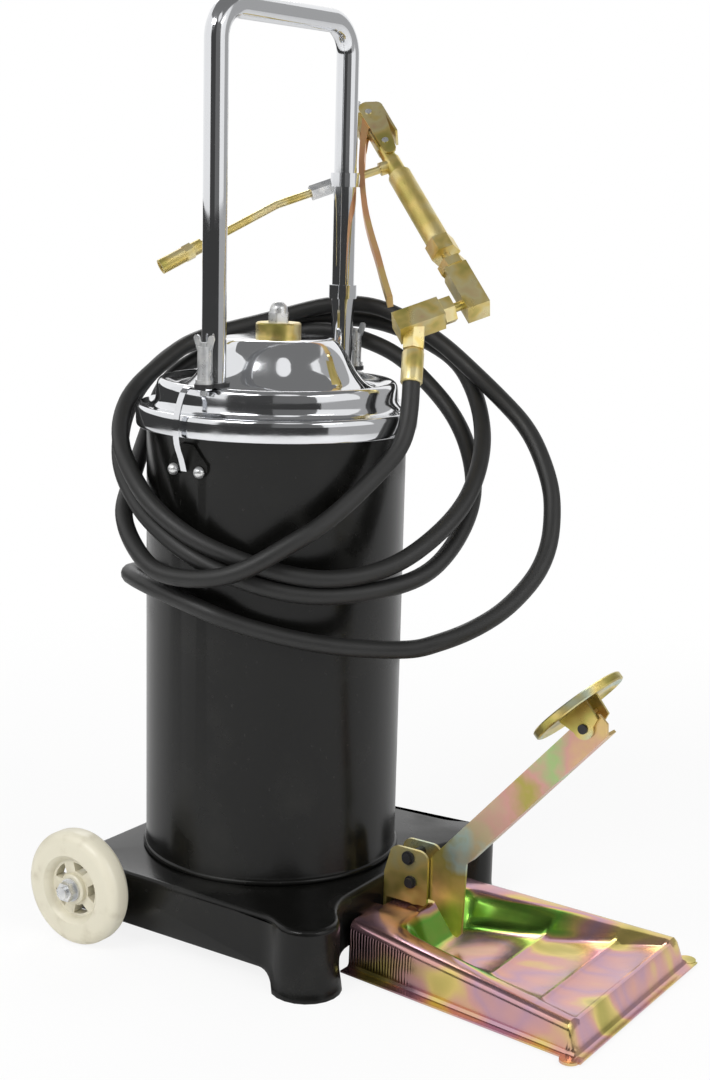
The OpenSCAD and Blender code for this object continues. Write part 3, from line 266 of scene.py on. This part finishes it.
# Lid and straps: spun and pressed steel, chrome plated, with faint smears and a few dull
# touches. The straps bend over the lid's brim and hook to the lugs.
LID_ROUND_UP_TO = 52
CHROME = (0.78, 0.79, 0.81)

chrome, place = finish("chrome plate", Base_Color=CHROME, Metallic=1.0)
smear = place.noise(18, detail=5).between(0.4, 0.75)
vary(chrome, Roughness=smear * 0.12 + 0.05, Normal=place.noise(9, detail=2).bump(0.12, 0.003))
coat(chrome, "lid", degrees=LID_ROUND_UP_TO)
coat(chrome, "hold_down_straps")

# Pull handle: one bent steel tube, chrome plated, that stands on the lid. The hose hook
# and the gun clip are clamped behind its far leg and plated alike.
coat(chrome, "handle", "hose_hook", "gun_clip")

# Bracket, lever, disc pad and tray: pressed sheet steel with yellow chromated zinc. The
# film's thickness shifts its colour: rose and olive on the flats, green on the recess's
# walls. The bracket and the tray are screwed to the base, the lever turns on its pin.
OLIVE = (0.48, 0.42, 0.11)
GOLD = (0.76, 0.59, 0.2)
ROSE = (0.7, 0.38, 0.33)
MAUVE = (0.56, 0.34, 0.42)
GREEN = (0.2, 0.52, 0.07)
SKY = (0.5, 0.62, 0.55)
# Painted shade: the near black that darkens the tray's outer walls by the base and in their
# creases.
PAINTED_SHADE = (0.02, 0.017, 0.01)


def chromate(name, dull, stops, film, relief=None, shade=None, metal=0.82):
    """Chromated zinc. Its film, from 0 to 1, picks the colour; its shade, from 0 to 1, darkens
    that colour with painted shade.
    """
    material, place = finish(name, Metallic=metal)
    ramp = {"stops": [(at, (*colour, 1)) for at, colour in stops]}
    worn = place.noise(70, detail=4)
    height = place.noise(110, detail=2) * 0.06
    colour = place.make("ShaderNodeValToRGB", ramp, {0: film(place)})
    # Painted shade: the colour turns near black where the shade wire rises.
    if shade is not None:
        colour = shade(place).colours(colour, PAINTED_SHADE)
    vary(
        material,
        Base_Color=colour,
        Roughness=worn * 0.16 + (dull - 0.08),
        Normal=(height if relief is None else height + relief(place)).bump(0.8, 0.0008),
    )
    return material


# On the tray, in metres in the part's frame: where each change of colour starts and ends.
RECESS_SPREAD = 0.3
SIDE_FOOT, SIDE_RIM = (-0.004, 0.012), (0.029, 0.038)
SIDE_STARTS, GREEN_FADES = (0.05, 0.062), (0.13, 0.21)
REAR_RIM, REAR_FOOT, REAR_ENDS = (0.046, 0.056), (0.062, 0.082), (0.048, 0.058)


def tray_film(place):
    """Rose and olive on the flats and the outer walls, green on the recess's walls."""
    along, off_middle = place.along((1, 0, 0)), place.along((0, 1, 0)).sum("ABSOLUTE")
    up_wall = off_middle - along * RECESS_SPREAD
    side = up_wall.between(*SIDE_FOOT) * (1 - up_wall.between(*SIDE_RIM))
    side = side * (1 - along.between(*GREEN_FADES)) * along.between(*SIDE_STARTS)
    rear = (1 - along.between(*REAR_FOOT)) * along.between(*REAR_RIM)
    green = side.sum("MAXIMUM", rear * (1 - off_middle.between(*REAR_ENDS)))
    patch = place.noise(15, detail=1.5, stretch=(1, 1.5, 1)).between(0.3, 0.75) * 0.62
    shimmer = (place.noise(38, detail=2) - 0.5) * 0.16
    return patch * (1 - green) + green * (shimmer + 0.85)


UPRIGHT = (0.1, 0.4)
# The second pair sets where the painted shade on the outer walls fades out.
CREASES_FADE, PAINTED_SHADE_FADES = (0.055, 0.085), (0.03, 0.13)
CREASE_TURN = 2100  # radians a metre, which is one crease in 3 mm


def outer_wall(place, fades):
    """1 on the tray's upright walls by the base, down to 0 further forward."""
    upright = place.make("ShaderNodeTexCoord", out="Normal").along((0, 0, 1))
    return (1 - upright.between(*UPRIGHT)) * (1 - place.along((1, 0, 0)).between(*fades))


def tray_creases(place):
    """Fine upright creases that the press left in the outer walls, by the base."""
    wave = place.along((1, 0, 0)) * CREASE_TURN + place.noise(60, detail=1) * 5
    return wave.sum("SINE") * outer_wall(place, CREASES_FADE)


def tray_painted_shade(place):
    """Painted shade: the outer walls go dark towards the base, and darker still in the creases."""
    creases = tray_creases(place).between(0.1, 0.7)
    return outer_wall(place, PAINTED_SHADE_FADES) * 0.8 + creases * 0.15


LEVER_WAY = (0.67, 0, 0.743)
LEVER_SHARE, LEVER_START = 3.7, 0.185


def lever_film(place):
    """Bands across the lever, from the pivot at 0 to the tip at 1, with uneven edges."""
    along = place.along(LEVER_WAY) * LEVER_SHARE - LEVER_START
    return along + (place.noise(30, detail=3) - 0.5) * 0.4


# The tray's outer walls get painted shade towards the base and in their creases.
tray_zinc = chromate(
    "yellow zinc tray", 0.2,
    [(0, OLIVE), (0.13, GOLD), (0.26, ROSE), (0.44, MAUVE), (0.6, ROSE), (0.7, GOLD),
     (0.82, GREEN), (1, OLIVE)],
    tray_film, tray_creases, tray_painted_shade, metal=0.95,
)
coat(tray_zinc, "foot_tray")
lever_zinc = chromate(
    "yellow zinc lever", 0.34,
    [(0, OLIVE), (0.12, GOLD), (0.24, OLIVE), (0.31, SKY), (0.38, (0.6, 0.5, 0.3)), (0.5, ROSE),
     (0.6, OLIVE), (0.68, ROSE), (0.76, (0.42, 0.58, 0.25)), (0.84, ROSE), (1, GOLD)],
    lever_film, metal=0.95,
)
coat(lever_zinc, "pedal_lever")
pad_zinc = chromate(
    "yellow zinc pad", 0.3,
    [(0, (0.3, 0.2, 0.05)), (0.25, OLIVE), (0.55, GOLD), (0.8, (0.66, 0.6, 0.3)), (1, SKY)],
    lambda place: place.noise(28, detail=2).between(0.25, 0.75),
)
coat(pad_zinc, "lever_bracket", "pedal_pad")

# Gun, its swivels and the hose fittings: turned steel and die castings in yellow zinc,
# screwed together. The grip is knurled all over.
BRASSY, PINKISH = (0.74, 0.58, 0.3), (0.7, 0.46, 0.3)

turned_zinc = chromate(
    "yellow zinc turned", 0.3,
    [(0, OLIVE), (0.3, GOLD), (0.6, (0.78, 0.68, 0.36)), (0.9, BRASSY), (1, PINKISH)],
    lambda place: place.noise(45, detail=2).between(0.25, 0.8),
)
knurled_zinc = chromate(
    "yellow zinc knurled", 0.34,
    [(0, OLIVE), (0.5, GOLD), (1, (0.78, 0.7, 0.4))],
    lambda place: place.noise(30, detail=2).between(0.25, 0.8),
    lambda place: place.noise(1300, detail=0) * 0.5,
)
coat(knurled_zinc, "gun_grip")
coat(
    turned_zinc, "gun_body", "gun_yoke", "grip_nut", "swivel_nut",
    "swivel_block_upper", "swivel_stem", "swivel_block_lower", "hose_nut", "hose_ferrule",
    "spout_pipe", "coupler", "outlet_fitting", "collar_nut",
)

# Trigger: a long strip of pressed steel whose chromate has turned copper red. It swings
# on a pin in the gun's yoke.
RED_COPPER, GOLD_COPPER = (0.8, 0.42, 0.22), (0.78, 0.56, 0.22)

copper, place = finish("copper zinc", Metallic=0.8, Roughness=0.34)
vary(
    copper,
    Base_Color=place.noise(30, detail=3).between(0.4, 0.65).colours(RED_COPPER, GOLD_COPPER),
)
coat(copper, "trigger")

# Hose: 15 mm black rubber hose, smooth outside, three and a half turns round the drum.
# It hangs from the hook on the far handle leg and from the gun, and ends in the
# fitting on the deck behind the drum.
HOSE_DIAMETER = 15 * MM
HOSE_CORNERS = 5  # more corners in each quarter of its round section
HOSE_POINTS_MM = [
    (123, 20, 482), (131.5, -2, 440), (122, -29.5, 410), (105, -69, 378), (87, -98, 359),
    (51, -129, 334), (-5, -137, 327), (-41, -132, 339), (-78, -110, 364), (-102, -71, 390),
    (-129, -17, 427), (-131, 17, 469), (-94, 68, 501), (-58, 96, 508), (-24, 114, 511),
    (24, 132, 497), (59, 138, 474), (97, 134, 442), (130, 111, 408), (151, 78, 375),
    (157, 34, 343), (148, -9, 323), (116, -60, 315), (83, -91, 317), (46, -114, 328),
    (6, -125, 344), (-34, -122, 363), (-69, -108, 381), (-103, -86, 408), (-127, -49, 445),
    (-128, -8, 479), (-111, 38, 503), (-61, 100, 518), (-32, 126, 522), (12, 150, 518),
    (67, 165, 495), (104, 151, 469), (135, 120, 436), (154, 82, 405), (159, 43, 375),
    (149, -3, 348), (131, -40, 333), (102, -76, 329), (62, -104, 338), (15, -123, 355),
    (-25, -126, 375), (-56, -119, 396), (-92, -98, 426), (-114.5, -61.5, 457),
    (-113, -19, 484), (-104, 22, 504), (-68, 77, 520), (-23, 115, 535), (18, 137, 532),
    (64, 144, 511), (97, 144, 491), (146, 140, 457), (173, 134, 436), (192, 126, 414),
    (207, 116, 391), (216, 104, 370), (222, 89, 349), (223, 72, 330), (218, 54, 313),
    (209, 31, 297), (194, 8, 284), (176, -14, 275), (154, -34, 270), (104, -77, 275),
    (52, -110, 288), (17, -124, 300), (-45, -118, 310), (-92, -87, 308), (-118, -35, 296),
    (-125, 5, 270), (-117, 48, 232), (-97, 86, 186), (-69, 110, 144), (-48, 118, 104),
]
STEPS_PER_POINT = 8
RELAX_ROUNDS = 120
EVEN_OUT, PUSH_BACK = 0.5, -0.51


def smooth_path(points, steps):
    """Points on a smooth curve that passes through the given ones."""
    last = len(points) - 1
    path = []
    for i in range(last):
        before, here = points[max(i - 1, 0)], points[i]
        there, after = points[i + 1], points[min(i + 2, last)]
        for k in range(steps):
            t = k / steps
            line = 2 * here + (there - before) * t
            turn = (2 * before - 5 * here + 4 * there - after) * t**2
            twist = (3 * here - 3 * there + after - before) * t**3
            path.append(0.5 * (line + turn + twist))
    return path + [points[last]]


def relaxed(path, rounds):
    """Evens out the bends, as stiff rubber does, without pulling the line inwards."""
    for _ in range(rounds):
        for pull in (EVEN_OUT, PUSH_BACK):
            middle = [b + ((a + c) / 2 - b) * pull for a, b, c in zip(path, path[1:], path[2:])]
            path = [path[0]] + middle + [path[-1]]
    return path


def length_of(path):
    """The line's length, which is the hose's cut length."""
    return sum((b - a).length for a, b in zip(path, path[1:]))


def tube(name, path, radius, corners):
    """A round tube along a path, as a curve object."""
    curve = bpy.data.curves.new(name, "CURVE")
    curve.dimensions = "3D"
    curve.bevel_depth = radius
    curve.bevel_resolution = corners
    curve.use_fill_caps = True
    line = curve.splines.new("POLY")
    line.points.add(len(path) - 1)
    for point, place in zip(line.points, path):
        point.co = (*place, 1)
    piece = bpy.data.objects.new(name, curve)
    bpy.context.scene.collection.objects.link(piece)
    return piece


hose_points = [Vector(p) * MM + Vector((DRUM_X, 0, 0)) for p in HOSE_POINTS_MM]
hose_path = relaxed(smooth_path(hose_points, STEPS_PER_POINT), RELAX_ROUNDS)
hose_piece = tube("rubber_hose", hose_path, HOSE_DIAMETER / 2, HOSE_CORNERS)
hose_piece.data.materials.append(rubber)
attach(hose_piece, "root")
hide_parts("hose")
length_of(hose_path)

# Studio: a pale floor that fades into the white background, a white room, a big soft
# lamp from the left and above, and a weaker one from the right.
FLOOR_HALF = 6.0
FADE_FROM, FADE_TO = 0.45, 1.3
WHITE_NEAR = 0.86
LAMPS_AIM = Vector((0, 0, 0.35))


def lamp(name, at, size, watts):
    """A square soft lamp, turned towards the middle of the part."""
    light = bpy.data.lights.new(name, "AREA")
    light.size, light.energy = size, watts
    source = bpy.data.objects.new(name, light)
    source.location = at
    source.rotation_euler = (LAMPS_AIM - source.location).to_track_quat("-Z", "Y").to_euler()
    bpy.context.scene.collection.objects.link(source)


lamp("key", (-0.3, -2.2, 2.2), 1.4, 40)
lamp("fill", (2.4, -0.4, 1.6), 1.2, 22)
lamp("back", (-1.6, 1.6, 2.0), 1.0, 12)

floor_mesh = bpy.data.meshes.new("floor")
sides = ((-1, -1), (1, -1), (1, 1), (-1, 1))
floor_mesh.from_pydata([(x * FLOOR_HALF, y * FLOOR_HALF, 0) for x, y in sides], [], [(0, 1, 2, 3)])
floor_piece = bpy.data.objects.new("floor", floor_mesh)
bpy.context.scene.collection.objects.link(floor_piece)
pale, place = finish("pale floor", Base_Color=(0.93, 0.93, 0.93), Roughness=0.9)
tree = pale.node_tree
distance = place.make("ShaderNodeVectorMath", {"operation": "LENGTH"}, {0: place}, out="Value")
seen_by_lens = place.make("ShaderNodeLightPath", out="Is Camera Ray")
white = place.make("ShaderNodeEmission", {}, {"Color": (1, 1, 1, 1), "Strength": 1.0})
shader = Wire(tree, tree.nodes["Principled BSDF"].outputs[0])
share = distance.between(FADE_FROM, FADE_TO) * (1 - WHITE_NEAR) + WHITE_NEAR
blended = place.make("ShaderNodeMixShader", {}, {0: share * seen_by_lens, 1: shader, 2: white})
tree.links.new(blended.out, tree.nodes["Material Output"].inputs["Surface"])
floor_mesh.materials.append(pale)

# Cloth and soft boxes, seen by mirrors alone. A low screen, dark behind the camera and
# grey on its right, draws the bands in the upright tubes. Over it stand white boxes at
# both sides with dark cloth between them, for the streaks in the lid.
CLOTH_FAR = 2.3
CLOTH_FOOT, CLOTH_LOW, CLOTH_HIGH = 0.03, 0.62, 2.6
CARD_TURN = 25
DARK, FRONT_DARK, DARK_GREY, OVER, GREY, WHITE = 0.05, 0.06, 0.16, 0.2, 0.42, 0.95


def card(name, corners, level):
    """A flat card that only glossy rays see, plain in colour."""
    mesh = bpy.data.meshes.new(name)
    mesh.from_pydata(corners, [], [tuple(range(len(corners)))])
    material = bpy.data.materials.new(name)
    material.use_nodes = True
    tree = material.node_tree
    shine = {"Color": (level, level, level, 1), "Strength": 1.0}
    glow = Wire(tree).make("ShaderNodeEmission", {}, shine)
    tree.links.new(glow.out, tree.nodes["Material Output"].inputs["Surface"])
    mesh.materials.append(material)
    piece = bpy.data.objects.new(name, mesh)
    for kind in ("camera", "diffuse", "shadow", "transmission", "volume_scatter"):
        setattr(piece, f"visible_{kind}", False)
    bpy.context.scene.collection.objects.link(piece)


def bearing(degrees, far, high):
    """A place so far from the middle of the part, at a bearing from its +X side."""
    turn = math.radians(degrees)
    return far * math.cos(turn), far * math.sin(turn), high


def screen(name, turns, foot, top, level):
    """An upright strip of cards at the cloth's distance, between two bearings."""
    steps = max(1, round((turns[1] - turns[0]) / CARD_TURN))
    for k in range(steps):
        one, two = (turns[0] + (turns[1] - turns[0]) * n / steps for n in (k, k + 1))
        sides = ((one, foot), (two, foot), (two, top), (one, top))
        card(f"{name}_{k}", [bearing(turn, CLOTH_FAR, z) for turn, z in sides], level)


for name, turns, foot, top, level in (
    ("low_dark", (-205, -14), CLOTH_FOOT, CLOTH_LOW, DARK),
    ("low_grey", (-14, 84), CLOTH_FOOT, CLOTH_LOW, GREY),
    ("left_box", (-175, -104), CLOTH_LOW, CLOTH_HIGH, WHITE),
    ("front_cloth", (-104, -60), CLOTH_LOW, CLOTH_HIGH, FRONT_DARK),
    ("front_grey", (-60, -18), CLOTH_LOW, CLOTH_HIGH, DARK_GREY),
    ("right_box", (-18, 30), CLOTH_LOW, CLOTH_HIGH, WHITE),
    ("right_cloth", (30, 84), CLOTH_LOW, CLOTH_HIGH, GREY),
):
    screen(name, turns, foot, top, level)
over_turns = (-205, -157, -110, -62, -14, 40, 95)
card("over_cloth", [bearing(turn, CLOTH_FAR, CLOTH_HIGH) for turn in over_turns], OVER)

LID_MIDDLE = Vector((DRUM_X, 0, 0.5))
ROUND_BOX_AT, ROUND_BOX_RADIUS = Vector(bearing(-46, 1.3, 2.1)), 0.36
facing = (LID_MIDDLE - ROUND_BOX_AT).to_track_quat("-Z", "Y").to_matrix()
rim = [facing @ Vector(bearing(turn, ROUND_BOX_RADIUS, 0)) for turn in range(0, 360, 12)]
card("round_box", [ROUND_BOX_AT + corner for corner in rim], 1.0)

# Room: painted white all round. The lens and mirrors see it plain white, and everything
# else gets half that light from it.
ROOM_GLOW = 0.5

world = bpy.data.worlds.new("white room")
world.use_nodes = True
tree = world.node_tree
room = Wire(tree)
kinds = ("Camera", "Glossy", "Transmission")
rays = [room.make("ShaderNodeLightPath", out=f"Is {kind} Ray") for kind in kinds]
seen = rays[0].sum("MAXIMUM", rays[1].sum("MAXIMUM", rays[2]))
backdrop = room.make("ShaderNodeBackground", {}, {"Color": (1, 1, 1, 1), "Strength": 1.0})
glow = room.make("ShaderNodeBackground", {}, {"Color": (1, 1, 1, 1), "Strength": ROOM_GLOW})
both = room.make("ShaderNodeMixShader", {}, {0: seen, 1: glow, 2: backdrop})
tree.links.new(both.out, tree.nodes["World Output"].inputs["Surface"])
bpy.context.scene.world = world
